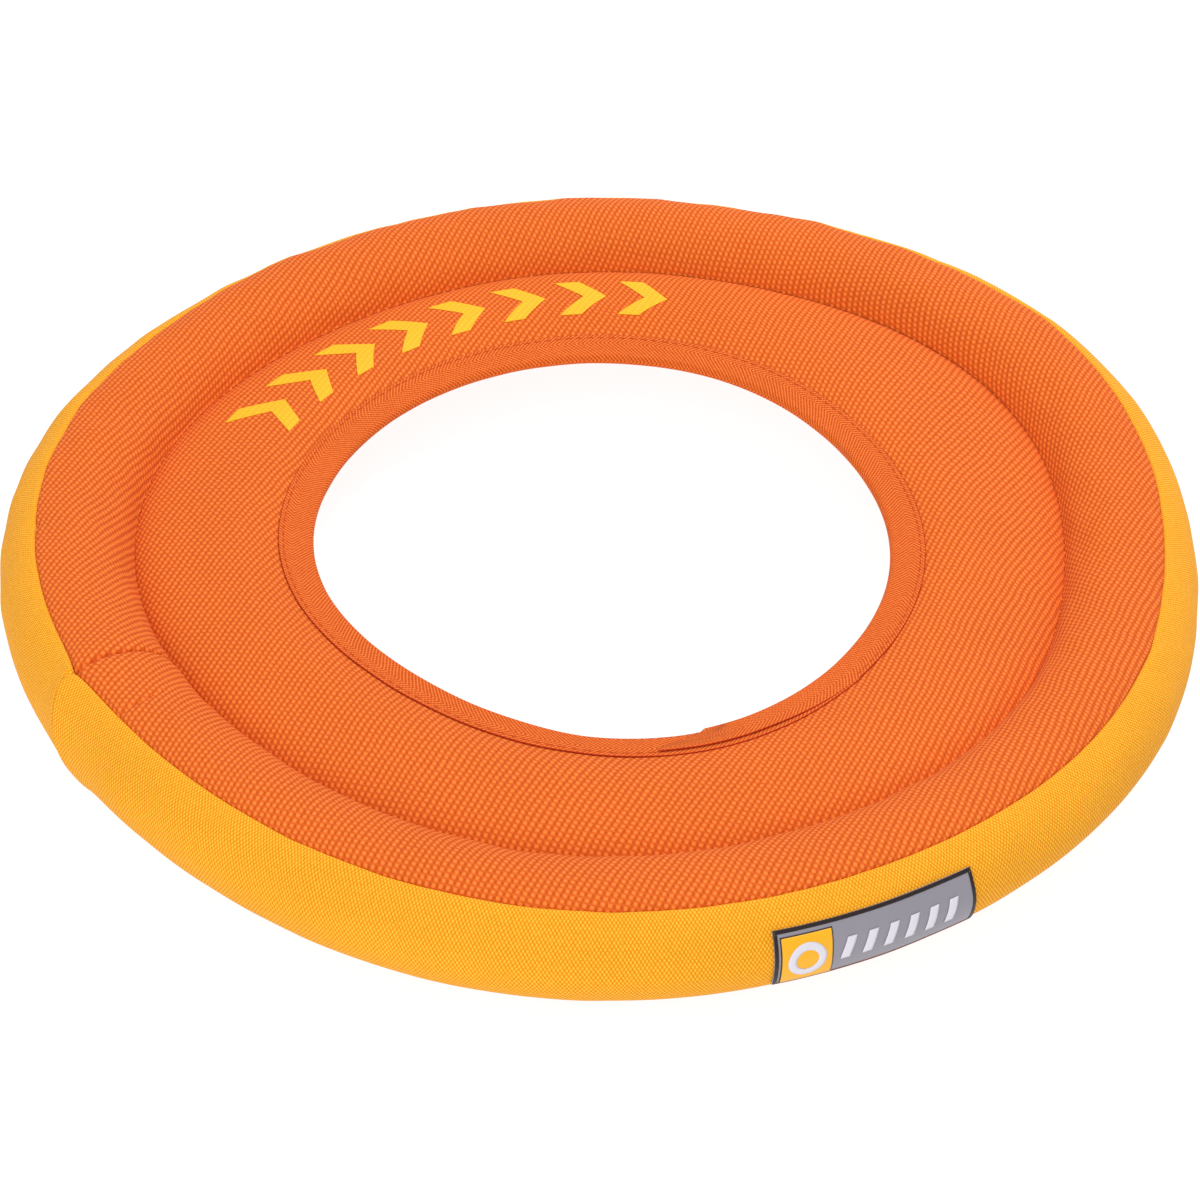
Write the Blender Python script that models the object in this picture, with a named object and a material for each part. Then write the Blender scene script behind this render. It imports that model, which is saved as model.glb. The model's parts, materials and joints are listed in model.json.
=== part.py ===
"""Soft flying ring: a foam-rod rim and a thin padded web round an open centre, sewn in cloth.

Metres, +Z up. The origin is under the centre of the ring, at the height of its underside.
Sections are drawn as (radius, height) points, with height counted from the ring's mid-plane.
"""

import math

import bmesh
import bpy
from mathutils import Matrix, Vector

# Overall sizes
RING_RADIUS = 0.140
HOLE_RADIUS = 0.0685

# Rim section: an oval bulge between the groove and the outer edge
RIM_WIDTH = 0.031
RIM_HALF_HEIGHT = 0.0125
SEAM_INSET = 0.0085
CONTACT_WIDTH = 0.004

# Web section: from the groove to the taped edge of the hole
GROOVE_HALF_HEIGHT = 0.0026
WEB_CROWN = 0.0032
WEB_FULLNESS = 4
WEB_EDGE_HALF_HEIGHT = 0.0025
HOLE_EDGE_HALF_HEIGHT = 0.0016

# Cloth, tape and foam
PANEL_THICKNESS = 0.0007
TAPE_THICKNESS = 0.0006
TAPE_WIDTH = 0.0080
TAPE_LAP_START, TAPE_LAP_END = -80.0, -40.0
GAP = 0.0003
BUTT_GAP = 0.0004
FOAM_JOINT_ANGLE = 209.5
BAND_JOINT_ANGLE = 213.1
BAND_JOINT_SLANT = 39.0
SEAM_NOTCH = 0.0016

# Threads
THREAD_RADIUS = 0.0003
STITCH_INSET = 0.0011

# Applied marks
LABEL_LENGTH = 0.046
LABEL_HEIGHT = 0.0130
LABEL_THICKNESS = 0.0007
LABEL_ANGLE = -66.1
LABEL_RISE = 0.0018
PRINT_COUNT = 8
PRINT_FIRST_ANGLE, PRINT_LAST_ANGLE = 153.0, 85.0
PRINT_HEIGHT = 0.0160
PRINT_WIDTH = 0.0125
PRINT_STROKE = 0.0058
PRINT_THICKNESS = 0.0003
PRINT_SHIFT = -0.0012

# Facets
STATIONS = 48
RIM_STEPS = 7
WEB_SHARES = (0.05, 0.12, 0.25, 0.45, 0.7, 0.88, 1.0)

GROOVE_RADIUS = RING_RADIUS - RIM_WIDTH
TAPE_RADIUS = HOLE_RADIUS + TAPE_WIDTH
MID_HEIGHT = RIM_HALF_HEIGHT


def rim_oval():
    """Half width and centre radius of the rim's oval, which meets the groove at its inner side."""
    lean = math.sqrt(1 - (GROOVE_HALF_HEIGHT / RIM_HALF_HEIGHT) ** 2)
    half_width = RIM_WIDTH / (1 + lean)
    return half_width, RING_RADIUS - half_width


def rim_point(angle, inset=0.0):
    """Point on the rim's oval, angle counted from its outer side, moved in by inset."""
    half_width, centre = rim_oval()
    across, up = math.cos(angle), math.sin(angle)
    normal = Vector((across / half_width, up / RIM_HALF_HEIGHT)).normalized()
    point = Vector((centre + half_width * across, RIM_HALF_HEIGHT * up))
    return point - inset * normal


def seam_angle():
    half_width, centre = rim_oval()
    return math.acos((RING_RADIUS - SEAM_INSET - centre) / half_width)


def web_height(radius):
    """Height of the web's outer cloth face above the mid-plane."""
    if radius <= TAPE_RADIUS:
        share = (TAPE_RADIUS - radius) / TAPE_WIDTH
        return WEB_EDGE_HALF_HEIGHT + share * (HOLE_EDGE_HALF_HEIGHT - WEB_EDGE_HALF_HEIGHT)
    share = (GROOVE_RADIUS - radius) / (GROOVE_RADIUS - TAPE_RADIUS)
    base = GROOVE_HALF_HEIGHT + share * (WEB_EDGE_HALF_HEIGHT - GROOVE_HALF_HEIGHT)
    return base + WEB_CROWN * (1 - abs(2 * share - 1) ** WEB_FULLNESS)


def spread(first, last, steps):
    return [first + (last - first) * step / steps for step in range(steps + 1)]


def web_face():
    """Outer face of the web's cloth, from just inside the groove to the edge under the tape."""
    radii = [GROOVE_RADIUS + share * (TAPE_RADIUS - GROOVE_RADIUS) for share in WEB_SHARES]
    radii.append(HOLE_RADIUS + TAPE_THICKNESS + GAP)
    return [Vector((radius, web_height(radius))) for radius in radii]


def panel_face():
    """Outer face of the top panel, from the rim seam to the edge under the tape."""
    start = seam_angle() + BUTT_GAP / RIM_HALF_HEIGHT
    groove = math.pi - math.asin(GROOVE_HALF_HEIGHT / RIM_HALF_HEIGHT)
    _, crest = rim_oval()
    flat = [Vector((crest + side * CONTACT_WIDTH / 2, RIM_HALF_HEIGHT)) for side in (1, -1)]
    rise = [rim_point(a) for a in spread(start, math.pi / 2, 3)[:-1]]
    fall = [rim_point(a) for a in spread(math.pi / 2, groove, RIM_STEPS)[1:]]
    outside = [p for p in rise if p.x > flat[0].x] + flat + [p for p in fall if p.x < flat[1].x]
    return outside + web_face()


def offset(points, distance):
    """The open line moved sideways by distance, to the right of its direction when positive."""
    moved = []
    for index, point in enumerate(points):
        before = points[max(index - 1, 0)]
        after = points[min(index + 1, len(points) - 1)]
        first = (point - before if index else after - point).normalized()
        second = (after - point if index < len(points) - 1 else first).normalized()
        normals = [Vector((way.y, -way.x)) for way in (first, second)]
        middle = (normals[0] + normals[1]).normalized()
        moved.append(point + middle * distance / max(middle.dot(normals[0]), 0.5))
    return moved


def wall(points, thickness):
    """Closed section of a cloth layer whose outer face is points; the wall lies to their left."""
    return points + offset(points, -thickness)[::-1]


def flipped(section):
    return [Vector((point.x, -point.y)) for point in section][::-1]


def material(name, colour, roughness):
    finish = bpy.data.materials.new(name)
    finish.use_nodes = True
    shader = finish.node_tree.nodes["Principled BSDF"]
    shader.inputs["Base Color"].default_value = (*colour, 1.0)
    shader.inputs["Roughness"].default_value = roughness
    shader.inputs["Metallic"].default_value = 0.0
    return finish


def add_object(name, mesh_builder, finish, sharp=40):
    """Puts the finished bmesh in the scene under its node name, at the ring's mid-height."""
    bmesh.ops.recalc_face_normals(mesh_builder, faces=mesh_builder.faces)
    mesh = bpy.data.meshes.new(name)
    mesh_builder.to_mesh(mesh)
    mesh_builder.free()
    mesh.shade_smooth()
    mesh.set_sharp_from_angle(angle=math.radians(sharp))
    mesh.materials.append(finish)
    piece = bpy.data.objects.new(name, mesh)
    piece.parent = bpy.data.objects["ring_middle"]
    bpy.context.scene.collection.objects.link(piece)
    return piece


def turned(name, section, finish, start=FOAM_JOINT_ANGLE, sweep=360.0, stations=STATIONS):
    """Spins a closed (radius, height) section round Z; a part turn gets flat ends.

    Whole turns start at the foam's joint, so that their facets line up with the foam rod's.
    """
    bm = bmesh.new()
    turn = Matrix.Rotation(math.radians(start), 3, "Z")
    verts = [bm.verts.new(turn @ Vector((point.x, 0.0, point.y))) for point in section]
    face = bm.faces.new(verts)
    whole = sweep >= 360.0
    bmesh.ops.spin(
        bm,
        geom=list(face.edges) if whole else [face, *face.edges, *face.verts],
        cent=(0, 0, 0),
        axis=(0, 0, 1),
        dvec=(0, 0, 0),
        angle=math.radians(sweep),
        steps=stations,
        use_merge=whole,
    )
    if whole:
        bm.faces.remove(face)
    bmesh.ops.remove_doubles(bm, verts=bm.verts, dist=1e-7)
    return add_object(name, bm, finish)


def thread_ring(name, centre, finish):
    """A thread laid in a circle, square in section."""
    corners = [(1, 0), (0, 1), (-1, 0), (0, -1)]
    section = [centre + THREAD_RADIUS * Vector(corner) for corner in corners]
    return turned(name, section, finish)


def make_panels(finish):
    section = wall(panel_face(), PANEL_THICKNESS)
    turned("top_panel", section, finish)
    turned("bottom_panel", flipped(section), finish)


def make_joint_cutter():
    """Thin leaning slab that parts the band's two ends."""
    turn = Matrix.Rotation(math.radians(BAND_JOINT_ANGLE), 4, "Z")
    lean = Matrix.Rotation(math.radians(BAND_JOINT_SLANT), 4, "X")
    size = Matrix.Diagonal((RIM_WIDTH, BUTT_GAP, 4 * RIM_HALF_HEIGHT, 1.0))
    bm = bmesh.new()
    bmesh.ops.create_cube(bm, size=1.0)
    bm.transform(turn @ Matrix.Translation((RING_RADIUS, 0.0, 0.0)) @ lean @ size)
    mesh = bpy.data.meshes.new("joint_cutter")
    bm.to_mesh(mesh)
    bm.free()
    cutter = bpy.data.objects.new("joint_cutter", mesh)
    cutter.parent = bpy.data.objects["ring_middle"]
    cutter.hide_render = True
    bpy.context.scene.collection.objects.link(cutter)
    return cutter


def make_rim_band(finish):
    """Side strip between the two rim seams, its ends cut on the slant and butted at the joint."""
    reach = seam_angle() - BUTT_GAP / RIM_HALF_HEIGHT
    section = wall([rim_point(angle) for angle in spread(-reach, reach, 8)], PANEL_THICKNESS)
    band = turned("rim_band", section, finish)
    joint = band.modifiers.new("joint", "BOOLEAN")
    joint.operation = "DIFFERENCE"
    joint.object = make_joint_cutter()


def make_rim_foam(finish):
    """Foam rod bent to a ring. It is notched where the seam threads run."""
    inset = PANEL_THICKNESS + GAP
    groove = math.pi - 1.3 * math.asin((GROOVE_HALF_HEIGHT + PANEL_THICKNESS) / RIM_HALF_HEIGHT)
    seam = seam_angle()
    notch = SEAM_NOTCH / RIM_HALF_HEIGHT
    upper = [rim_point(0, inset), rim_point(seam / 2, inset), rim_point(seam - notch, inset)]
    upper += [rim_point(seam, inset + SEAM_NOTCH), rim_point(seam + notch, inset)]
    upper += [rim_point(angle, inset) for angle in spread(math.pi / 2, groove, 4)]
    limit = RIM_HALF_HEIGHT - inset
    for point in upper:
        point.y = min(point.y, limit)
    section = upper + flipped(upper)[:-1]
    slit = math.degrees(BUTT_GAP / (RING_RADIUS - RIM_WIDTH))
    turned("rim_foam", section, finish, FOAM_JOINT_ANGLE + slit / 2, 360 - slit)


def make_web_foam(finish):
    """Foam sheet that fills the web between the two panels."""
    upper = offset(web_face(), -PANEL_THICKNESS - GAP)
    turned("web_foam", upper + flipped(upper), finish)


def tape_face():
    """Upper half of the tape's inner face, from its outer edge to the hole."""
    radii = spread(TAPE_RADIUS, HOLE_RADIUS + TAPE_THICKNESS + GAP, 2)
    return [Vector((radius, web_height(radius) + GAP)) for radius in radii]


def tape_section(thickness):
    """Section of the folded tape, thickness outwards from its inner face."""
    upper = tape_face()
    fold = Vector((HOLE_RADIUS + TAPE_THICKNESS, 0.0))
    inner = upper + [Vector((fold.x, upper[-1].y * 0.6)), Vector((fold.x, -upper[-1].y * 0.6))]
    inner += flipped(upper)
    outer = offset(inner, thickness)
    for point in outer:
        point.x = max(point.x, fold.x - thickness)
    return inner + outer[::-1]


def make_inner_binding(finish):
    """Tape folded over the hole's edge; its end laps over its start on the outer face."""
    piece = turned("inner_binding", tape_section(TAPE_THICKNESS), finish)
    lap = Vector(tape_section(2 * TAPE_THICKNESS)[-1]) - Vector(tape_section(TAPE_THICKNESS)[-1])
    for vertex in piece.data.vertices:
        angle = math.degrees(math.atan2(vertex.co.y, vertex.co.x))
        if not TAPE_LAP_START <= angle <= TAPE_LAP_END:
            continue
        radius = math.hypot(vertex.co.x, vertex.co.y)
        if vertex.co.z > web_height(radius) + GAP + TAPE_THICKNESS / 2:
            share = (TAPE_LAP_END - angle) / (TAPE_LAP_END - TAPE_LAP_START)
            vertex.co.z += lap.y * share


def make_threads(cloth_thread, binding_thread):
    notch_depth = PANEL_THICKNESS + GAP + THREAD_RADIUS
    seam = rim_point(seam_angle(), notch_depth)
    groove = Vector((GROOVE_RADIUS, GROOVE_HALF_HEIGHT + 2 * GAP + 2 * THREAD_RADIUS))
    radius = TAPE_RADIUS - STITCH_INSET
    rise = 2 * GAP + TAPE_THICKNESS + THREAD_RADIUS
    binding = Vector((radius, web_height(radius) + rise + TAPE_THICKNESS))
    rings = (("top_seam_thread", "bottom_seam_thread", seam, cloth_thread),
             ("groove_thread_top", "groove_thread_bottom", groove, cloth_thread),
             ("binding_stitch_top", "binding_stitch_bottom", binding, binding_thread))
    for upper, lower, centre, finish in rings:
        thread_ring(upper, centre, finish)
        thread_ring(lower, Vector((centre.x, -centre.y)), finish)


def make_band_joint_thread(finish):
    """Thread that closes the band's butt joint, running up over its outer face."""
    reach = seam_angle() * 0.85
    path = [rim_point(angle, -GAP - THREAD_RADIUS) for angle in spread(-reach, reach, 8)]
    curve = bpy.data.curves.new("band_joint_thread", "CURVE")
    curve.dimensions = "3D"
    curve.bevel_depth = THREAD_RADIUS
    curve.bevel_resolution = 1
    curve.use_fill_caps = True
    spline = curve.splines.new("POLY")
    spline.points.add(len(path) - 1)
    slope = math.tan(math.radians(BAND_JOINT_SLANT)) / RING_RADIUS
    for point, place in zip(spline.points, path):
        turn = Matrix.Rotation(math.radians(BAND_JOINT_ANGLE) - slope * place.y, 3, "Z")
        point.co = (*(turn @ Vector((place.x, 0.0, place.y))), 1.0)
    curve.materials.append(finish)
    piece = bpy.data.objects.new("band_joint_thread", curve)
    piece.parent = bpy.data.objects["ring_middle"]
    bpy.context.scene.collection.objects.link(piece)


def make_label(finish):
    """Flexible label bonded round the outside of the band."""
    half = LABEL_HEIGHT / 2 / RIM_HALF_HEIGHT
    centre = LABEL_RISE / RIM_HALF_HEIGHT
    inner = [rim_point(a, -GAP) for a in spread(centre - half, centre + half, 6)]
    outer = [rim_point(a, -GAP - LABEL_THICKNESS) for a in spread(centre - half, centre + half, 6)]
    sweep = math.degrees(LABEL_LENGTH / RING_RADIUS)
    turned("label_patch", inner + outer[::-1], finish, LABEL_ANGLE - sweep / 2, sweep, 8)


def make_print_mark(name, angle, finish):
    """One chevron of printed film, bent to the web's crown."""
    middle = (GROOVE_RADIUS + TAPE_RADIUS) / 2 + PRINT_SHIFT
    bm = bmesh.new()
    rows = []
    for along in spread(-1.0, 1.0, 8):
        radius = middle + along * PRINT_HEIGHT / 2
        nose = (1 - abs(along)) * (PRINT_WIDTH - PRINT_STROKE) - PRINT_WIDTH / 2
        row = []
        for lift in (GAP, GAP + PRINT_THICKNESS):
            for side in (nose, nose + PRINT_STROKE):
                turn = math.radians(angle) - side / middle
                height = web_height(radius) + lift
                place = (radius * math.cos(turn), radius * math.sin(turn), height)
                row.append(bm.verts.new(place))
        rows.append(row)
    for first, second in zip(rows, rows[1:]):
        for a, b in ((0, 1), (1, 3), (3, 2), (2, 0)):
            bm.faces.new((first[a], first[b], second[b], second[a]))
    for row in (rows[0], rows[-1]):
        bm.faces.new((row[0], row[1], row[3], row[2]))
    add_object(name, bm, finish)


def make_print(finish):
    for index, angle in enumerate(spread(PRINT_FIRST_ANGLE, PRINT_LAST_ANGLE, PRINT_COUNT - 1)):
        make_print_mark(f"top_print_{index + 1}", angle, finish)


def main():
    for leftover in list(bpy.data.objects):
        bpy.data.objects.remove(leftover, do_unlink=True)
    middle = bpy.data.objects.new("ring_middle", None)
    middle.location = (0.0, 0.0, MID_HEIGHT)
    bpy.context.scene.collection.objects.link(middle)

    orange = material("orange_cloth", (0.85, 0.16, 0.03), 0.75)
    yellow = material("yellow_cloth", (0.92, 0.42, 0.02), 0.75)
    tape = material("orange_tape", (0.80, 0.13, 0.02), 0.7)
    foam = material("grey_foam", (0.35, 0.35, 0.36), 0.9)
    orange_thread = material("orange_thread", (0.75, 0.12, 0.02), 0.6)
    yellow_thread = material("yellow_thread", (0.85, 0.38, 0.02), 0.6)
    label = material("label_film", (0.28, 0.26, 0.30), 0.45)
    ink = material("yellow_ink", (0.95, 0.55, 0.02), 0.5)

    make_panels(orange)
    make_rim_band(yellow)
    make_rim_foam(foam)
    make_web_foam(foam)
    make_inner_binding(tape)
    make_threads(orange_thread, orange_thread)
    make_band_joint_thread(yellow_thread)
    make_label(label)
    make_print(ink)


main()
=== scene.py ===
import json
import math

import bmesh
import bpy
import numpy as np
from mathutils import Matrix, Vector, noise

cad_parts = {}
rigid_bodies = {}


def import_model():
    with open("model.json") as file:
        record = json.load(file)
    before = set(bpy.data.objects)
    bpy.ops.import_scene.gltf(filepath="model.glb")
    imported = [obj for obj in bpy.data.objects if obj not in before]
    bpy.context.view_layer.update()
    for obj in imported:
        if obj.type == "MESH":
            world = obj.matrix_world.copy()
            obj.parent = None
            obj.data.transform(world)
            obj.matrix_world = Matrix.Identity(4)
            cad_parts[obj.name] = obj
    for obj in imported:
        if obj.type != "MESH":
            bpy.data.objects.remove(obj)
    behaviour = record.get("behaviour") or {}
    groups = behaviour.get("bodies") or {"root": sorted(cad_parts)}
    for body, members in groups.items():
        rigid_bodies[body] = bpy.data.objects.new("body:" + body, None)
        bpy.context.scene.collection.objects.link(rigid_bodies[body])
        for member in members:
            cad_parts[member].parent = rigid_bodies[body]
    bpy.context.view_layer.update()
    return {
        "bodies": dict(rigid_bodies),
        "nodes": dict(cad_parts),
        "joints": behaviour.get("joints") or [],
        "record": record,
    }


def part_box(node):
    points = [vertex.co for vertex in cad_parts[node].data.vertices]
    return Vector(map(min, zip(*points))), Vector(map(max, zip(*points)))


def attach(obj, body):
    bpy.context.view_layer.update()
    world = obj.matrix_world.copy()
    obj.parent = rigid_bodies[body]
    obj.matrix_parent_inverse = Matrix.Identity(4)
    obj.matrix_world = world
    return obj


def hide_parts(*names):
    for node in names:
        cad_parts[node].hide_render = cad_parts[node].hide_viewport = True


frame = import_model()
mm = 0.001


# radius, angle and height of every vertex of a CAD node
def polar(node):
    points = [vertex.co for vertex in frame["nodes"][node].data.vertices]
    return np.array([(math.hypot(p.x, p.y), math.atan2(p.y, p.x), p.z) for p in points])


def spread(first, last, steps):
    return [first + (last - first) * step / steps for step in range(steps + 1)]


def clamped(share):
    return min(max(share, 0.0), 1.0)


# 0 before first, 1 after last, smooth between
def ease(value, first, last):
    share = clamped((value - first) / (last - first))
    return share * share * (3 - 2 * share)


# signed angle from one direction to another, -pi to pi
def turnFrom(angle, start):
    return (angle - start + math.pi) % math.tau - math.pi


# what the frame gives
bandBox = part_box("rim_band")
ring = {
    "middle": (bandBox[0].z + bandBox[1].z) / 2,
    "radius": polar("rim_band")[:, 0].max(),
    "groove": polar("groove_thread_top")[:, 0].mean(),
    "tapeEdge": polar("inner_binding")[:, 0].max(),
    "hole": polar("inner_binding")[:, 0].min(),
    "seam": polar("top_panel")[:, 0].max(),
}
ring["halfHeight"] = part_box("top_panel")[1].z - ring["middle"]
# the band's ends are cut on the slant: angle of the joint, and its turn for each metre of height
jointSpots = polar("band_joint_thread")
jointLine = np.polyfit(jointSpots[:, 2] - ring["middle"], jointSpots[:, 1], 1)
ring["jointSlope"], ring["joint"] = jointLine

# how the cloth is cut and filled; heights count from the ring's middle
cloth = {
    "thickness": 0.7 * mm,
    "grooveHalf": 2.6 * mm,
    "webEdge": 2.0 * mm,
    "webCrown": 3.0 * mm,
    "outerFullness": 4.6,
    "innerFullness": 2.2,
    "holeEdge": 0.75 * mm,
    "seamRoll": 1.0 * mm,
    "seamHem": 0.09,
    "tape": 0.45 * mm,
}

# how the ring has settled out of true; lists are (order, cosine, sine) round the ring, in mm,
# and as a share of its height in rimSwell
shape = {
    "rimRadius": [
        (0, -0.16, 0), (1, 0.12, -0.13), (2, 0.10, 0.36), (3, -0.41, 2.90), (4, -0.18, 0.47), (5, -0.70, 0.07),
        (6, -0.40, -0.10),
    ],
    "rimHeight": [(0, -0.64, 0), (1, 0.62, 0.67), (2, -3.04, 0.92), (3, -0.67, -0.75), (4, -0.24, -0.10)],
    "rimSwell": [(0, 0.026, 0), (1, -0.032, -0.018), (2, 0.008, 0.027)],
    "holeRadius": [
        (0, 0.21, 0), (1, -0.36, -0.17), (2, -2.48, -0.60), (3, -0.50, 0.24), (4, 0.55, 0.24), (5, 0.18, -0.24),
    ],
    "webHeight": [(0, 2.38, 0), (1, -0.44, -0.29), (2, -0.34, 0.61)],
    "stand": 3.2 * mm,
    "floorGap": 0.6 * mm,
    "seamReach": 0.5,
    "bottomDent": 0.35,
}

# each kind of unevenness: its size and the scale of its noise
uneven = {
    "bulge": (0.012, 2.7),
    "pucker": (0.22 * mm, 26),
    "wave": (0.42 * mm, 11),
    "web": (0.14 * mm, 90),
    "groove": (0.2 * mm, 160),
    "puckerReach": 0.35,
}

# the rim is rolled outwards along the back, fully to one distance from its middle and not past another
rimRoll = {
    "most": math.radians(10),
    "middle": math.radians(102),
    "full": math.radians(28),
    "ends": math.radians(50),
}

# where the seam stands out in a corner: (degrees round the ring, mm outwards, mm along the seam)
corners = [
    (-150.2, 1.5, 5.0), (37, 0.9, 7.0), (52, -0.4, 4.0), (66, 0.6, 4.0), (74, -0.5, 4.0),
    (100, 0.4, 5.0), (128, 0.5, 6.0), (163, 0.5, 6.0), (-118, 0.3, 6.0), (-20, 0.4, 7.0),
]

# the fold in the rim where the foam rod's ends meet, with its shoulders, a wrinkle beside it and a notch
# in the seam
pinch = {
    "angle": math.radians(-150.2),
    "lean": math.radians(-0.2),
    "arch": math.radians(-0.5),
    "depth": 1.7 * mm,
    "width": 0.45 * mm,
    "shoulder": 0.35 * mm,
    "shoulderAway": 5 * mm,
    "shoulderWidth": 4 * mm,
    "below": 0.25,
    "above": 0.1,
    "grooveFade": 2.6,
    "grooveLoss": 0.6,
}
wrinkle = {
    "angle": math.radians(-142),
    "lean": -0.02,
    "depth": 1.0 * mm,
    "width": 0.6 * mm,
    "below": 0.2,
    "length": 1.1,
}
notch = {"angle": math.radians(-175.5), "depth": 0.7 * mm, "width": 1.1 * mm, "height": 0.09}


def harmonics(terms, angle):
    return sum(c * math.cos(n * angle) + s * math.sin(n * angle) for n, c, s in terms)


def unevenness(kind, place, shift=Vector((0, 0, 0))):
    size, scale = uneven[kind]
    return size * noise.noise(place * scale + shift)


# the rim's section is an oval that passes through the groove
grooveReach = math.sqrt(1 - (cloth["grooveHalf"] / ring["halfHeight"]) ** 2)
rimHalfWidth = (ring["radius"] - ring["groove"]) / (1 + grooveReach)
rimCentre = ring["radius"] - rimHalfWidth
seamTurn = math.acos((ring["seam"] - rimCentre) / rimHalfWidth)
grooveTurn = math.pi - math.asin(cloth["grooveHalf"] / ring["halfHeight"])


# a point on the rim's oval, moved out by rise; turn 0 is its outer side
def ovalPoint(turn, rise=0.0):
    across, up = math.cos(turn), math.sin(turn)
    normal = Vector((across / rimHalfWidth, up / ring["halfHeight"])).normalized()
    return Vector((rimCentre + rimHalfWidth * across, ring["halfHeight"] * up)) + rise * normal


# height of the web's cloth above the ring's middle
def webHeight(radius):
    if radius <= ring["tapeEdge"]:
        share = (ring["tapeEdge"] - radius) / (ring["tapeEdge"] - ring["hole"])
        return cloth["webEdge"] + share * (cloth["holeEdge"] - cloth["webEdge"])
    share = (ring["groove"] - radius) / (ring["groove"] - ring["tapeEdge"])
    base = cloth["grooveHalf"] + share * (cloth["webEdge"] - cloth["grooveHalf"])
    fullness = cloth["outerFullness"] if share < 0.5 else cloth["innerFullness"]
    return base + cloth["webCrown"] * (1 - abs(2 * share - 1) ** fullness)


# folds, dents and puckers along the outward direction of the rim's section
def rimDent(turn, angle):
    dent = 0.0
    if turn > seamTurn - 0.6:
        hold = ease(turn, seamTurn - pinch["below"], seamTurn + pinch["above"])
        hold *= 1 - pinch["grooveLoss"] * ease(turn, pinch["grooveFade"], grooveTurn)
        share = clamped((turn - seamTurn) / (grooveTurn - seamTurn))
        line = pinch["angle"] + pinch["lean"] * share + pinch["arch"] * math.sin(math.pi * share)
        away = abs(turnFrom(angle, line) * rimCentre)
        dent -= hold * pinch["depth"] * math.exp(-away / pinch["width"])
        offside = (away - pinch["shoulderAway"]) / pinch["shoulderWidth"]
        dent += hold * pinch["shoulder"] * math.exp(-offside ** 2)
        away = abs(turnFrom(angle, wrinkle["angle"] + wrinkle["lean"] * share) * rimCentre)
        along = clamped((turn - seamTurn + wrinkle["below"]) / wrinkle["length"])
        dent -= wrinkle["depth"] * math.exp(-away / wrinkle["width"]) * math.sin(math.pi * along)
    away = turnFrom(angle, notch["angle"]) * rimCentre
    offside = (away / notch["width"]) ** 2 + ((turn - seamTurn) / notch["height"]) ** 2
    dent -= notch["depth"] * math.exp(-offside)
    way = Vector((math.cos(angle), math.sin(angle), turn * 0.1))
    near = math.exp(-abs(abs(turn) - seamTurn) / uneven["puckerReach"])
    return dent + near * unevenness("pucker", way) + unevenness("wave", way, Vector((3, 1, turn)))


# turn of a point on the rim's section once the rim has rolled outwards
def rolled(turn, angle):
    away = abs(turnFrom(angle, rimRoll["middle"]))
    roll = rimRoll["most"] * (1 - ease(away, rimRoll["full"], rimRoll["ends"]))
    return turn - roll * (1 - ease(abs(turn), seamTurn, grooveTurn - 0.3))


# radius and height of a point of the rim; the groove's thread holds it where hold is 0
def settledRim(radius, angle, height, side):
    across, up = (radius - rimCentre) / rimHalfWidth, height / ring["halfHeight"]
    turn, reach = math.atan2(up, across), math.hypot(across, up)
    hold = 1 - ease(abs(turn), grooveTurn - 0.5, grooveTurn)
    newTurn = rolled(turn, angle)
    across, up = reach * math.cos(newTurn), reach * math.sin(newTurn)
    outward = Vector((across / rimHalfWidth, up / ring["halfHeight"])).normalized()
    dent = rimDent(turn, angle) if side > 0 else shape["bottomDent"] * rimDent(-turn, angle)
    push = outward * dent * hold ** 0.5
    way = Vector((math.cos(angle), math.sin(angle), side * 0.4))
    swell = 1 + hold * unevenness("bulge", way)
    lift = 1 + hold * harmonics(shape["rimSwell"], angle)
    radius = rimCentre + rimHalfWidth * across * swell + push.x
    near = math.exp(-((turn - seamTurn) / shape["seamReach"]) ** 2)
    for degrees, out, length in corners:
        away = abs(turnFrom(angle, math.radians(degrees))) * rimCentre / mm
        radius += near * out * mm * math.exp(-away / length)
    return radius, ring["halfHeight"] * up * lift * swell + push.y


# where a point of the sewn ring lies once the ring has settled; height counts from its middle
def settled(radius, angle, height):
    rimShare = ease(radius, ring["tapeEdge"], ring["groove"])
    side = 1 if height >= 0 else -1
    if radius >= ring["groove"] - 0.01 * mm:
        radius, height = settledRim(radius, angle, height, side)
    else:
        inside = ease(radius, ring["groove"], ring["groove"] - 5 * mm)
        way = Vector((math.cos(angle), math.sin(angle), side)) * radius
        height += inside * side * unevenness("web", way)
        radius += (1 - inside) * unevenness("groove", way)
    rimPart, webPart = rimShare * mm, (1 - rimShare) * mm
    radius += rimPart * harmonics(shape["rimRadius"], angle) + webPart * harmonics(shape["holeRadius"], angle)
    height += rimPart * harmonics(shape["rimHeight"], angle) + webPart * harmonics(shape["webHeight"], angle)
    level = ring["middle"] + shape["stand"] + height
    # what would sink into the floor is pressed flat on it
    if level < shape["floorGap"]:
        level = shape["floorGap"] * math.exp((level - shape["floorGap"]) / shape["floorGap"])
    return Vector((radius * math.cos(angle), radius * math.sin(angle), level))


# ---- meshes


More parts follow.
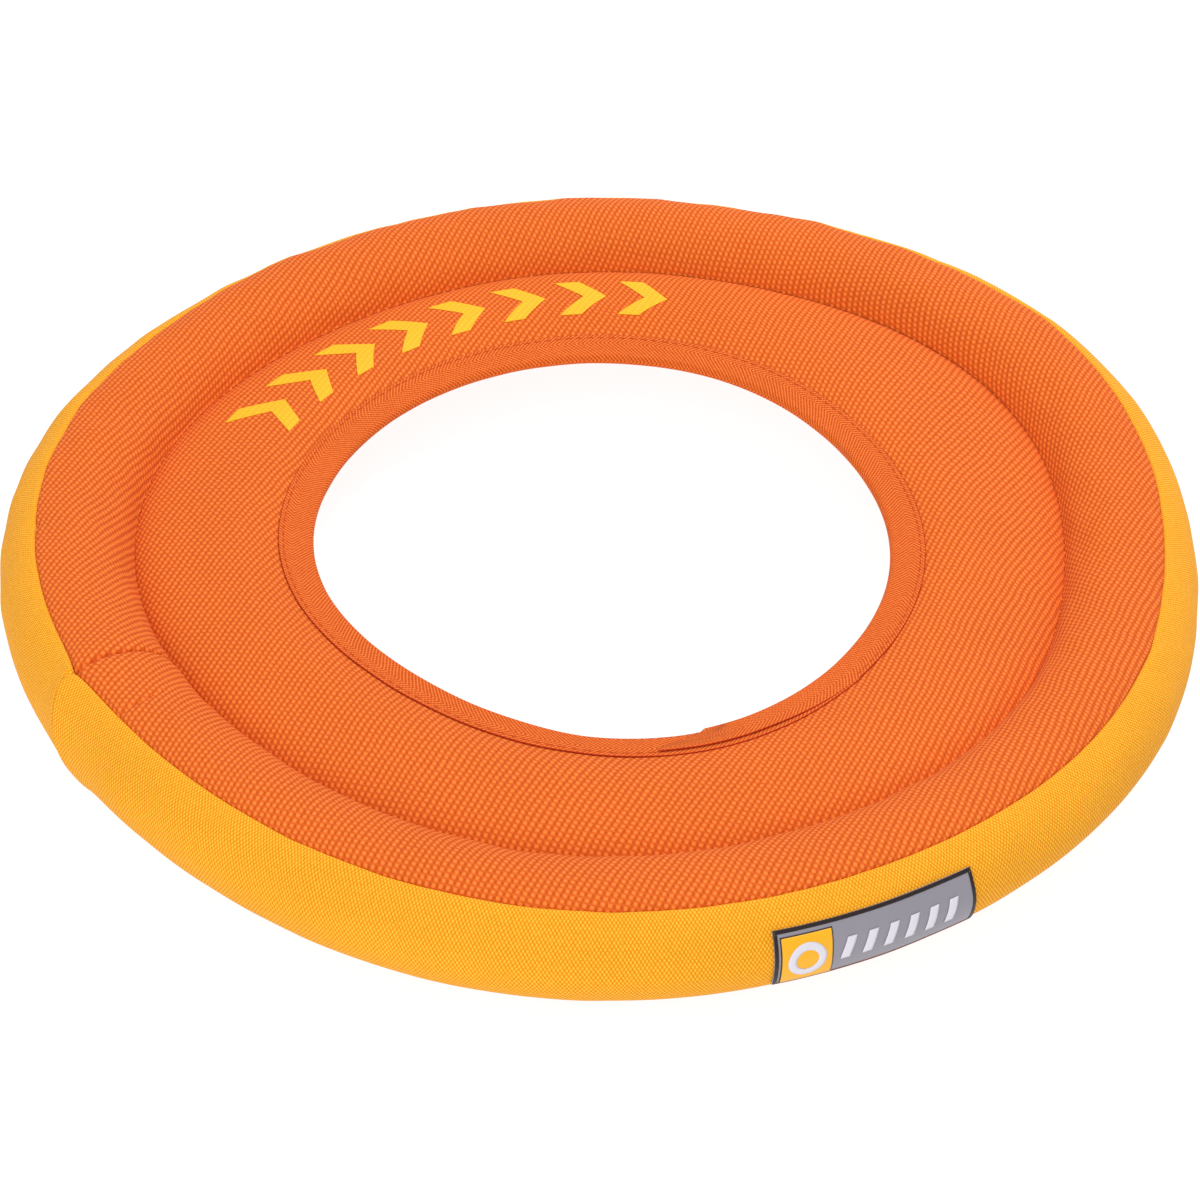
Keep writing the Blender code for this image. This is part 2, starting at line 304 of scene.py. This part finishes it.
# a grid bent into place: place(u, v) is a point in space and chart(u, v) a point on the cloth
def bentGrid(columns, rows, place, chart, closed=True):
    bm = bmesh.new()
    bmesh.ops.create_grid(bm, x_segments=columns, y_segments=rows, size=0.5)
    grain = bm.loops.layers.uv.new("grain")
    for face in bm.faces:
        for loop in face.loops:
            loop[grain].uv = chart(loop.vert.co.x + 0.5, loop.vert.co.y + 0.5)
    for vertex in bm.verts:
        vertex.co = place(vertex.co.x + 0.5, vertex.co.y + 0.5)
    if closed:
        bmesh.ops.remove_doubles(bm, verts=bm.verts, dist=0.001 * mm)
    return bm


def added(name, bm, finish):
    mesh = bpy.data.meshes.new(name)
    bm.to_mesh(mesh)
    bm.free()
    mesh.materials.append(finish)
    piece = bpy.data.objects.new(name, mesh)
    bpy.context.scene.collection.objects.link(piece)
    return piece


def finished(name, bm, finish):
    piece = added(name, bm, finish)
    piece.data.shade_smooth()
    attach(piece, "root")
    return piece


# gives a sheet its thickness, inwards
def thicken(piece, thickness):
    wall = piece.modifiers.new("wall", "SOLIDIFY")
    wall.thickness = thickness
    wall.offset = -1.0
    wall.use_even_offset = False


# columns crowd towards the folds in the rim
columnCrowd = 0.8


def columnAngle(u, crowd=columnCrowd):
    return pinch["angle"] + math.tau * u - crowd * math.sin(math.tau * u)


def lengths(section):
    steps = [0.0]
    for first, second in zip(section, section[1:]):
        steps.append(steps[-1] + (second - first).length)
    return steps


# ---- finishes


def colour(red, green, blue):
    parts = [part / 255 for part in (red, green, blue)]
    return tuple(p / 12.92 if p <= 0.04045 else ((p + 0.055) / 1.055) ** 2.4 for p in parts) + (1.0,)


# one socket, which sums and products can use
class Wire:
    def __init__(self, bench, socket):
        self.bench, self.socket = bench, socket

    def __add__(self, other):
        return self.bench.maths("ADD", self, other)

    def __sub__(self, other):
        return self.bench.maths("SUBTRACT", self, other)

    def __rsub__(self, other):
        return self.bench.maths("SUBTRACT", other, self)

    def __mul__(self, other):
        return self.bench.maths("MULTIPLY", self, other)

    __radd__, __rmul__ = __add__, __mul__


# one material and its nodes
class Bench:
    def __init__(self, name, roughness, specular, sheen=0.0):
        self.material = bpy.data.materials.new(name)
        self.material.use_nodes = True
        self.tree = self.material.node_tree
        self.shader = self.tree.nodes["Principled BSDF"]
        self.shader.inputs["Roughness"].default_value = roughness
        self.shader.inputs["Specular IOR Level"].default_value = specular
        self.shader.inputs["Sheen Weight"].default_value = sheen

    def node(self, kind, settings=(), sockets=(), output=0):
        made = self.tree.nodes.new("ShaderNode" + kind)
        settings = dict(settings)
        stops = settings.pop("stops", ())
        for key, value in settings.items():
            setattr(made, key, value)
        for index, (place, shade) in enumerate(stops):
            if index >= len(made.color_ramp.elements):
                made.color_ramp.elements.new(place)
            made.color_ramp.elements[index].position = place
            made.color_ramp.elements[index].color = shade
        for key, value in dict(sockets).items():
            if isinstance(value, Wire):
                self.tree.links.new(value.socket, made.inputs[key])
            else:
                made.inputs[key].default_value = value
        return Wire(self, made.outputs[output])

    def maths(self, operation, *values):
        return self.node("Math", {"operation": operation}, enumerate(values))

    def feed(self, name, wire):
        self.tree.links.new(wire.socket, self.shader.inputs[name])

    # cloth coordinates in mm
    def chart(self):
        return self.node("UVMap", {"uv_map": "grain"})

    # the same, shifted by a slow wobble of the yarns
    def grain(self):
        place = self.chart()
        drift = self.node("TexNoise", {}, {"Vector": place, "Scale": 0.09, "Detail": 1.0}, 1)
        drift = self.node("VectorMath", {"operation": "SUBTRACT"}, {0: drift, 1: (0.5, 0.5, 0.5)})
        return self.node("VectorMath", {"operation": "ADD"}, {0: place, 1: drift})

    def part(self, vector, axis):
        return self.node("SeparateXYZ", {}, {0: vector}, axis)

    # the weave's height from waves across the cloth: (turns per mm along x, along y, strength)
    def weave(self, place, waves):
        height = 0.0
        for x, y, strength in waves:
            along = self.node("VectorMath", {"operation": "DOT_PRODUCT"}, {0: place, 1: (x, y, 0.0)}, 1)
            height = self.maths("COSINE", along * math.tau) * strength + height
        return height

    # 0 below low and 1 above high, or the other way round
    def step(self, value, low, high):
        sockets = {"Value": value, "From Min": low, "From Max": high}
        return self.node("MapRange", {"interpolation_type": "SMOOTHSTEP"}, sockets)

    def mix(self, share, first, second):
        return self.node("Mix", {"data_type": "RGBA"}, {0: share, 6: first, 7: second}, 2)

    def bump(self, height, distance):
        sockets = {"Strength": 1.0, "Distance": distance, "Height": height}
        self.feed("Normal", self.node("Bump", {}, sockets))


weaveDepth = 1.5

# in mm across the folded tape: the whole tape, its ridge, and the width from the cut of the painted shadow
# along its edges, then that painted shadow's colour
herringbone = {"length": 18.3, "ridge": 3.4, "edge": 0.3, "edgeShadeColour": (184, 40, 8)}


def wovenCloth(name, waves, shades, relief, folded=False):
    roughness = 0.75
    bench = Bench(name, roughness, 0.15, 0.02)
    place = bench.grain()
    if folded:
        along, across = bench.part(place, 0), bench.part(place, 1)
        across = bench.maths("PINGPONG", across, herringbone["length"] / 2)
        across = bench.maths("ABSOLUTE", across - herringbone["ridge"])
        place = bench.node("CombineXYZ", {}, {0: along, 1: across})
    height = bench.weave(place, waves)
    fine = bench.node("TexNoise", {}, {"Vector": place, "Scale": 1.1, "Detail": 2.0})
    share = bench.step(height + (fine - 0.5) * 1.6, -weaveDepth, weaveDepth)
    stops = [(position, colour(*shade)) for position, shade in shades]
    shade = bench.node("ValToRGB", {"stops": stops}, {0: share})
    broad = bench.node("TexNoise", {}, {"Vector": place, "Scale": 0.035, "Detail": 3.0})
    clothColour = bench.node("HueSaturation", {}, {"Color": shade, "Value": 0.94 + broad * 0.12})
    if folded:
        # painted shadow: within herringbone["edge"] mm of either cut edge the tape's colour turns dark red,
        # standing in for the shade in the gap under the tape's edge
        inward = bench.maths("PINGPONG", bench.part(bench.chart(), 1), herringbone["length"] / 2)
        edgeShade = bench.step(inward, herringbone["edge"] * 1.5, herringbone["edge"])
        clothColour = bench.mix(edgeShade, clothColour, colour(*herringbone["edgeShadeColour"]))
    bench.feed("Base Color", clothColour)
    bench.feed("Roughness", roughness + 0.1 - share * 0.12)
    bench.bump(share, relief)
    return bench.material


panelWaves = [(-0.62, 0.27, 1.05), (0.78, 0.50, 0.7), (0.16, 0.77, 0.45), (-0.46, 1.04, 0.3)]
panelShades = [(0.0, (198, 78, 20)), (0.35, (217, 97, 30)), (0.7, (231, 113, 38)), (1.0, (243, 128, 50))]
orangeCloth = wovenCloth("orangeCloth", panelWaves, panelShades, 0.12 * mm)
bandWaves = [(1.2, 0.78, 1.0), (-1.2, 0.78, 0.9), (0.0, 1.56, 0.3)]
bandShades = [(0.0, (224, 136, 14)), (0.5, (242, 163, 30)), (1.0, (250, 188, 56))]
yellowCloth = wovenCloth("yellowCloth", bandWaves, bandShades, 0.09 * mm)
tapeWaves = [(0.92, 0.95, 1.0), (1.1, -0.8, 0.4)]
tapeShades = [(0.0, (194, 68, 16)), (0.5, (221, 98, 31)), (1.0, (242, 127, 50))]
orangeTape = wovenCloth("orangeTape", tapeWaves, tapeShades, 0.16 * mm, folded=True)


def threadFinish(name, shade):
    bench = Bench(name, 0.7, 0.15)
    place = bench.node("TexCoord", {}, {}, 3)
    sockets = {"Vector": place, "Scale": 1400.0, "Distortion": 1.0}
    twist = bench.node("TexWave", {"bands_direction": "DIAGONAL"}, sockets)
    twist = bench.node("SeparateColor", {}, {0: twist})
    dark = [part * 0.8 for part in shade]
    bench.feed("Base Color", bench.mix(twist, colour(*dark), colour(*shade)))
    bench.bump(twist, 0.05 * mm)
    return bench.material


orangeThread = threadFinish("orangeThread", (222, 86, 28))
yellowThread = threadFinish("yellowThread", (246, 170, 40))


def foamFinish():
    bench = Bench("foam", 0.9, 0.2)
    place = bench.node("TexCoord", {}, {}, 3)
    cells = bench.node("TexVoronoi", {}, {"Vector": place, "Scale": 900.0})
    bench.feed("Base Color", bench.mix(cells, colour(150, 150, 152), colour(105, 105, 108)))
    bench.bump(cells, 0.2 * mm)
    return bench.material


foam = foamFinish()


# ink on the panel: the weave still shows through it
def inkFinish():
    bench = Bench("yellowInk", 0.6, 0.15)
    height = bench.weave(bench.grain(), panelWaves)
    share = bench.step(height, -weaveDepth, weaveDepth)
    bench.feed("Base Color", bench.mix(share, colour(243, 176, 34), colour(250, 189, 46)))
    bench.bump(share, 0.04 * mm)
    return bench.material


yellowInk = inkFinish()


def labelFinish(name, shade, dark):
    bench = Bench(name, 0.42, 0.4)
    speck = bench.node("TexNoise", {}, {"Vector": bench.chart(), "Scale": 3.0, "Detail": 4.0})
    bench.feed("Base Color", bench.mix(speck, colour(*dark), colour(*shade)))
    bench.bump(speck, 0.03 * mm)
    return bench.material


labelGrey = labelFinish("labelGrey", (150, 146, 156), (134, 130, 140))
labelDark = labelFinish("labelDark", (40, 22, 22), (26, 14, 14))
labelLower = labelFinish("labelLower", (150, 84, 44), (120, 62, 30))
labelYellow = labelFinish("labelYellow", (250, 182, 20), (240, 168, 12))
labelLight = labelFinish("labelLight", (226, 222, 232), (208, 204, 214))
print("finishes made")


# ---- cloth panels


# the edges of panel and band turn in at their seam: how far past it each point lies, and how deep
seamTurnIn = [(0.01, cloth["seamRoll"]), (-0.005, 0.4 * mm), (-0.03, 0.08 * mm)]


panel = {
    "topColumns": 800,
    "bottomColumns": 560,
    "rimSteps": 22,
    "webSteps": 24,
    "edgeSteps": 3,
    "holeGap": 0.3 * mm,
}


def coverSection():
    roll = [ovalPoint(seamTurn - past, -depth) for past, depth in seamTurnIn]
    rim = [ovalPoint(turn) for turn in spread(seamTurn + cloth["seamHem"], grooveTurn, panel["rimSteps"])]
    radii = []
    for step in range(1, panel["webSteps"] + 1):
        share = 0.5 - 0.5 * math.cos(math.pi * step / panel["webSteps"])
        radii.append(ring["groove"] + share * (ring["tapeEdge"] - ring["groove"]))
    last = ring["hole"] + cloth["tape"] + panel["holeGap"]
    radii += spread(ring["tapeEdge"], last, panel["edgeSteps"])[1:]
    return roll + rim + [Vector((radius, webHeight(radius))) for radius in radii]


coverLine = coverSection()
coverLengths = lengths(coverLine)
grooveSteps = [(point - ovalPoint(grooveTurn)).length for point in coverLine]
grooveLength = coverLengths[grooveSteps.index(min(grooveSteps))]


# side is 1 for the top and -1 for the bottom
def makePanel(name, node, side, columns):
    rows = len(coverLine) - 1

    def place(u, v):
        point = coverLine[round(v * rows)]
        return settled(point.x, columnAngle(u), side * point.y)

    def chart(u, v):
        reach = (ring["groove"] + grooveLength - coverLengths[round(v * rows)]) / mm
        angle = columnAngle(u)
        return reach * math.cos(angle), reach * math.sin(angle)

    bm = bentGrid(columns, rows, place, chart)
    if side < 0:
        bmesh.ops.reverse_faces(bm, faces=bm.faces)
    piece = finished(name, bm, orangeCloth)
    flat = 2 * (ring["groove"] + grooveLength)
    cut = math.pi * ((flat / 2) ** 2 - (ring["hole"]) ** 2)
    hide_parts(node)
    thicken(piece, cloth["thickness"])


makePanel("topPanel", "top_panel", 1, panel["topColumns"])
makePanel("bottomPanel", "bottom_panel", -1, panel["bottomColumns"])
print("panels made")


# ---- band round the rim, butted at its joint

band = {
    "slit": 0.06 * mm,
    "ridge": 1.1 * mm,
    "ridgeWidth": 4.5 * mm,
    "crease": 0.3 * mm,
    "creaseWidth": 0.4 * mm,
    "columns": 800,
    "rows": 34,
}


def bandSection():
    reach = seamTurn - cloth["seamHem"]
    side = [ovalPoint(turn) for turn in spread(-reach, reach, band["rows"])]
    upper = [ovalPoint(seamTurn + past, -depth) for past, depth in seamTurnIn][::-1]
    lower = [ovalPoint(-(seamTurn + past), -depth) for past, depth in seamTurnIn]
    return lower + side + upper


bandLine = bandSection()
bandLengths = lengths(bandLine)


# how far the cloth stands out beside the joint
def bandRise(angle):
    away = abs(turnFrom(angle, ring["joint"]) * ring["radius"])
    ridge = band["ridge"] * math.exp(-away / band["ridgeWidth"])
    return ridge - band["crease"] * math.exp(-away / band["creaseWidth"])


def makeBand():
    rows = len(bandLine) - 1
    slit = band["slit"] / ring["radius"]

    def angleAt(u):
        return ring["joint"] + slit / 2 + (math.tau - slit) * u - columnCrowd * math.sin(math.tau * u)

    def place(u, v):
        point = bandLine[round(v * rows)]
        outward = Vector((point.x - rimCentre, point.y)).normalized() * bandRise(angleAt(u))
        angle = angleAt(u) + ring["jointSlope"] * point.y
        return settled(point.x + outward.x, angle, point.y + outward.y)

    def chart(u, v):
        row = round(v * rows)
        angle = angleAt(u) + ring["jointSlope"] * bandLine[row].y
        return angle * ring["radius"] / mm, bandLengths[row] / mm

    bm = bentGrid(band["columns"], rows, place, chart, closed=False)
    piece = finished("rimBand", bm, yellowCloth)
    girth = math.tau * ring["radius"]
    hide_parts("rim_band")
    thicken(piece, cloth["thickness"])


makeBand()
print("band made")


# ---- tape folded over the hole's edge, its end lapped over its start

tape = {
    "lapStart": math.radians(-81),
    "lapEnd": math.radians(-42),
    "cutSlant": math.radians(9),
    "fold": 1.2 * mm,
    "wall": 0.8 * cloth["tape"],
    "lapOut": 1.1 * mm,
    "lapUp": 0.7 * cloth["tape"],
    "underOut": 0.3 * mm,
    "holeStep": 0.9 * mm,
    "hemRise": 0.12 * mm,
    "hemWidth": 0.2 * mm,
    "columns": 620,
    "faceSteps": 12,
    "foldSteps": 6,
}


def tapeSection():
    outer = ring["tapeEdge"]
    upper = [Vector((outer, webHeight(outer) + rise)) for rise in (tape["hemRise"], tape["wall"])]
    for radius in spread(outer - tape["hemWidth"], ring["hole"] + tape["fold"], tape["faceSteps"]):
        upper.append(Vector((radius, webHeight(radius) + cloth["tape"])))
    drop = upper[-1].copy()
    for turn in spread(0, math.pi / 2, tape["foldSteps"])[1:]:
        across = drop.x - (drop.x - ring["hole"]) * math.sin(turn)
        upper.append(Vector((across, drop.y * math.cos(turn))))
    return upper + [Vector((point.x, -point.y)) for point in upper[:-1]][::-1]


tapeLine = tapeSection()
tapeLengths = lengths(tapeLine)


def makeTape():
    rows = len(tapeLine) - 1
    lap = tape["lapEnd"] - tape["lapStart"]
    sweep = math.tau + lap

    # the tape's first stretch lies over its last one
    def place(u, v):
        along = sweep * u
        point = tapeLine[round(v * rows)].copy()
        outer = ease(point.x, ring["hole"], ring["tapeEdge"])
        slant = tape["cutSlant"] * (1 - outer) * (1 - ease(along, 0, 0.4 * lap))
        over = 1 - ease(along, 0.45 * lap, lap)
        under = ease(along, math.tau - 0.1, math.tau + 0.05)
        if along < lap:
            point.x -= over * tape["lapOut"] * outer
            point.y += over * tape["lapUp"] * (1 if point.y > 0 else -1)
        point.x += under * tape["underOut"] * outer
        point.x += (1 - outer) * tape["holeStep"] * ease(along, math.tau - 0.45, math.tau)
        return settled(point.x, tape["lapStart"] + along + slant, point.y)

    def chart(u, v):
        return sweep * u * ring["tapeEdge"] / mm, tapeLengths[round(v * rows)] / mm

    bm = bentGrid(tape["columns"], rows, place, chart, closed=False)
    piece = finished("innerBinding", bm, orangeTape)
    flat = (tapeLengths[-1], sweep * (ring["hole"] + ring["tapeEdge"]) / 2)
    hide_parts("inner_binding")
    thicken(piece, tape["wall"])


makeTape()
print("tape made")


# ---- foam inside


# the foam's size below the cloth, and the grid's steps
padding = {
    "grooveGap": 0.35,
    "rimInset": 1.2 * mm,
    "rimSteps": 40,
    "webInset": cloth["thickness"] + 0.3 * mm,
    "webOuter": ring["groove"] - 1 * mm,
    "webInner": ring["hole"] + 2 * mm,
    "webSteps": 18,
    "columns": 180,
}


# a closed section turned once round the ring
def foamRing(name, node, section):
    count = len(section)

    def place(u, v):
        point = section[round(v * count) % count]
        return settled(point.x, columnAngle(u, 0), point.y)

    bm = bentGrid(padding["columns"], count, place, lambda u, v: (u, v))
    bmesh.ops.recalc_face_normals(bm, faces=bm.faces)
    piece = finished(name, bm, foam)
    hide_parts(node)


def makeFoam():
    reach = grooveTurn - padding["grooveGap"]
    rim = [ovalPoint(turn, -padding["rimInset"]) for turn in spread(-reach, reach, padding["rimSteps"])]
    foamRing("rimFoam", "rim_foam", rim)
    radii = spread(padding["webOuter"], padding["webInner"], padding["webSteps"])
    upper = [Vector((radius, webHeight(radius) - padding["webInset"])) for radius in radii]
    web = upper + [Vector((point.x, -point.y)) for point in upper][::-1]
    foamRing("webFoam", "web_foam", web)


makeFoam()
print("foam made")


# ---- stitches

stitch = {
    "pitch": 2.6 * mm,
    "length": 1.9 * mm,
    "thread": 0.16 * mm,
    "tapeInset": 1.1 * mm,
    "seamDepth": 0.9 * mm,
    "jointDepth": 0.5 * mm,
    "jointReach": 0.85,
    "jointCount": 9,
}


def addStitch(bm, place):
    bmesh.ops.create_uvsphere(bm, u_segments=6, v_segments=5, radius=1, matrix=place)


# a row of short stitches at one radius and height, from the first angle to the last
def stitchRow(name, node, radius, height, first, last):
    count = max(3, round(abs(last - first) * radius / stitch["pitch"]))
    half = stitch["length"] / 2 / radius
    bm = bmesh.new()
    for step in range(count):
        angle = first + (last - first) * (step + 0.5) / count
        start, end = settled(radius, angle - half, height), settled(radius, angle + half, height)
        way = end - start
        turn = way.to_track_quat("X", "Z").to_matrix().to_4x4()
        size = Matrix.Diagonal((way.length / 2, stitch["thread"], stitch["thread"], 1))
        upright = Matrix.Rotation(math.pi / 2, 4, "Y")
        addStitch(bm, Matrix.Translation((start + end) / 2) @ turn @ size @ upright)
    piece = finished(name, bm, orangeThread)
    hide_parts(node)


def makeStitches():
    bindingRadius = ring["tapeEdge"] - stitch["tapeInset"]
    bindingHeight = webHeight(bindingRadius) + cloth["tape"] + 0.02 * mm
    bindingLast = tape["lapStart"] + math.tau
    grooveHeight = cloth["grooveHalf"] + 0.2 * mm
    seam = ovalPoint(seamTurn, -stitch["seamDepth"])
    for name, side in (("Top", 1), ("Bottom", -1)):
        low = name.lower()
        stitchRow("bindingStitch" + name, "binding_stitch_" + low, bindingRadius, side * bindingHeight,
                  tape["lapEnd"], bindingLast)
        stitchRow("grooveThread" + name, "groove_thread_" + low, ring["groove"], side * grooveHeight,
                  0, math.tau)
        stitchRow("seamThread" + name, low + "_seam_thread", seam.x, side * seam.y, 0, math.tau)


def makeJointThread():
    reach = seamTurn * stitch["jointReach"]
    bm = bmesh.new()
    for turn in spread(-reach, reach, stitch["jointCount"]):
        point = ovalPoint(turn, -stitch["jointDepth"])
        angle = ring["joint"] + ring["jointSlope"] * point.y
        aim = Matrix.Rotation(angle, 4, "Z") @ Matrix.Rotation(-turn, 4, "Y")
        size = Matrix.Diagonal((stitch["thread"], stitch["thread"], stitch["length"] / 2, 1))
        addStitch(bm, Matrix.Translation(settled(point.x, angle, point.y)) @ aim @ size)
    piece = finished("bandJointThread", bm, yellowThread)
    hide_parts("band_joint_thread")


makeStitches()
makeJointThread()
print("stitches made")


# ---- printed chevrons

ink = {"stroke": 5.8 * mm, "rise": 0.16 * mm, "thickness": 0.12 * mm, "columns": 28, "rows": 44, "count": 8}


def makeMark(number):
    spots = polar(f"top_print_{number}")
    middleAngle = (spots[:, 1].min() + spots[:, 1].max()) / 2
    low, high = spots[:, 0].min(), spots[:, 0].max()
    middle = (low + high) / 2
    width = (spots[:, 1].max() - spots[:, 1].min()) * middle

    # radius and angle of a point of the chevron; u runs across its stroke and v outwards
    def spot(u, v):
        along = 2 * v - 1
        nose = (1 - abs(along)) * (width - ink["stroke"]) - width / 2
        return low + v * (high - low), middleAngle - (nose + u * ink["stroke"]) / middle

    def place(u, v):
        radius, angle = spot(u, v)
        return settled(radius, angle, webHeight(radius) + ink["rise"])

    def chart(u, v):
        radius, angle = spot(u, v)
        return radius / mm * math.cos(angle), radius / mm * math.sin(angle)

    bm = bentGrid(ink["columns"], ink["rows"], place, chart, closed=False)
    piece = finished(f"print{number}", bm, yellowInk)
    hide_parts(f"top_print_{number}")
    thicken(piece, ink["thickness"])


for number in range(ink["count"]):
    makeMark(number + 1)
print("print made")


# ---- label on the band

labelSpots = polar("label_patch")
label = {
    "middle": (labelSpots[:, 1].min() + labelSpots[:, 1].max()) / 2,
    "length": (labelSpots[:, 1].max() - labelSpots[:, 1].min()) * ring["radius"],
    "height": 13.0 * mm,
    "rise": 1.8 * mm,
    "wrap": 0.97,
    "thickness": 0.55 * mm,
    "film": 0.1 * mm,
    "border": 0.8 * mm,
    "lower": 0.4 * mm,
    "frame": 0.25 * mm,
    "square": 10.6 * mm,
    "ringInner": 2.4 * mm,
    "ringStroke": 1.7 * mm,
    "ringSquash": 0.92,
    "dashes": 6,
    "dashWidth": 2.1 * mm,
    "dashSlant": 1.6 * mm,
    "dashLow": -2.6 * mm,
    "dashHigh": 2.2 * mm,
}


# a point on the band: x runs along the label from its middle, y up from its middle
def labelPoint(x, y, lift):
    point = ovalPoint((y + label["rise"]) / ring["halfHeight"] * label["wrap"], lift)
    return settled(point.x, label["middle"] + x / ring["radius"], point.y)


# a thin slab on the band, between two corners; layer 0 is the label itself and others are films on it
def labelSlab(name, low, high, layer, finish, slant=0.0, steps=(40, 14)):
    thickness = label["film"] if layer else label["thickness"]
    lift = label["thickness"] + layer * label["film"]

    def place(u, v):
        x = low[0] + u * (high[0] - low[0]) + slant * (v - 0.5)
        return labelPoint(x, low[1] + v * (high[1] - low[1]), lift)

    def chart(u, v):
        return u * (high[0] - low[0]) / mm, v * (high[1] - low[1]) / mm

    bm = bentGrid(*steps, place, chart, closed=False)
    piece = finished(name, bm, finish)
    thicken(piece, thickness)
    return piece


def makeLabelFrame(x, y):
    edge, lower = label["border"], label["lower"]
    base = labelSlab("labelPatch", (-x, -y), (x, y), 0, labelGrey, steps=(90, 26))
    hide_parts("label_patch")
    labelSlab("labelBorderTop", (-x, y - edge), (x, y), 1, labelDark, steps=(90, 4))
    for name, start in (("labelBorderLeft", -x), ("labelBorderRight", x - edge)):
        labelSlab(name, (start, -y), (start + edge, y - edge), 1, labelDark, steps=(4, 26))
    labelSlab("labelBorderLower", (-x + edge, -y), (x - edge, -y + lower), 1, labelLower, steps=(80, 3))


# a square with a plain ring on it
def makeLabelSign(left, bottom):
    right, top, frame = left + label["square"], bottom + label["square"], label["frame"]
    labelSlab("labelFrame", (left - frame, bottom - frame), (right + frame, top + frame), 1, labelDark)
    labelSlab("labelSquare", (left, bottom), (right, top), 2, labelYellow)

    def place(u, v):
        reach = label["ringInner"] + label["ringStroke"] * v
        x = (left + right) / 2 + reach * math.cos(math.tau * u)
        y = (bottom + top) / 2 + reach * label["ringSquash"] * math.sin(math.tau * u)
        return labelPoint(x, y, label["thickness"] + 3 * label["film"])

    bm = bentGrid(48, 3, place, lambda u, v: (u * 10, v * 2))
    bmesh.ops.reverse_faces(bm, faces=bm.faces)
    thicken(finished("labelGlyph", bm, labelLight), label["film"])


def makeLabel():
    halfLength, halfHeight = label["length"] / 2, label["height"] / 2
    makeLabelFrame(halfLength, halfHeight)
    left = -halfLength + label["border"] + 0.7 * mm
    makeLabelSign(left, -halfHeight + label["lower"] + 0.3 * mm)
    first = left + label["square"] + 2.6 * mm
    pitch = (halfLength - label["border"] - 1.6 * mm - first) / label["dashes"]
    for number in range(label["dashes"]):
        x = first + number * pitch
        low, high = (x, label["dashLow"]), (x + label["dashWidth"], label["dashHigh"])
        labelSlab(f"labelDash{number + 1}", low, high, 2, labelLight, label["dashSlant"], (4, 10))


makeLabel()
print("label made")


# ---- studio

studio = {
    "lens": 90.81,
    "elevation": math.radians(38.83),
    "distance": 0.68805,
    "aim": (-0.79 * mm, -21.58 * mm),
    "roll": math.radians(1.565),
    "floorHalf": 6.0,
    "floorGlow": 0.92,
    "worldGlow": 0.55,
}

# place, size in metres and watts of each light
lights = {"keyLight": ((0.45, 0.7, 1.0), 0.8, 11), "fillLight": ((-0.4, -1.05, 0.85), 1.4, 12.5)}


def makeFloor():
    bm = bmesh.new()
    bmesh.ops.create_grid(bm, x_segments=1, y_segments=1, size=studio["floorHalf"])
    bench = Bench("paleFloor", 0.8, 0.1)
    place = bench.node("TexCoord", {}, {}, 3)
    speck = bench.node("TexNoise", {}, {"Vector": place, "Scale": 3.0})
    bench.feed("Base Color", bench.mix(speck, (0.15, 0.15, 0.15, 1), (0.16, 0.16, 0.16, 1)))
    bench.shader.inputs["Emission Color"].default_value = (1, 1, 1, 1)
    bench.shader.inputs["Emission Strength"].default_value = studio["floorGlow"]
    floor = added("floor", bm, bench.material)


def makeLight(name, place, size, power):
    data = bpy.data.lights.new(name, "AREA")
    data.size = size
    data.energy = power
    lamp = bpy.data.objects.new(name, data)
    lamp.location = place
    aim = Vector((0, 0, 0.01)) - Vector(place)
    lamp.rotation_euler = aim.to_track_quat("-Z", "Y").to_euler()
    bpy.context.scene.collection.objects.link(lamp)


def makeCamera():
    aim = Vector((*studio["aim"], ring["middle"] + shape["stand"]))
    back = Vector((0, -math.cos(studio["elevation"]), math.sin(studio["elevation"])))
    data = bpy.data.cameras.new("camera")
    data.lens = studio["lens"]
    data.sensor_width = 36
    data.clip_start = 0.01
    camera = bpy.data.objects.new("camera", data)
    bpy.context.scene.collection.objects.link(camera)
    look = (-back).to_track_quat("-Z", "Y").to_matrix().to_4x4()
    spot = Matrix.Translation(aim + back * studio["distance"])
    camera.matrix_world = spot @ look @ Matrix.Rotation(studio["roll"], 4, "Z")
    bpy.context.scene.camera = camera


def makeWorld():
    world = bpy.data.worlds.new("studio")
    world.use_nodes = True
    sky = world.node_tree.nodes["Background"]
    sky.inputs["Color"].default_value = (1, 1, 1, 1)
    sky.inputs["Strength"].default_value = studio["worldGlow"]
    bpy.context.scene.world = world


makeFloor()
for name, (place, size, power) in lights.items():
    makeLight(name, place, size, power)
makeCamera()
makeWorld()
bpy.context.scene.view_settings.view_transform = "Standard"
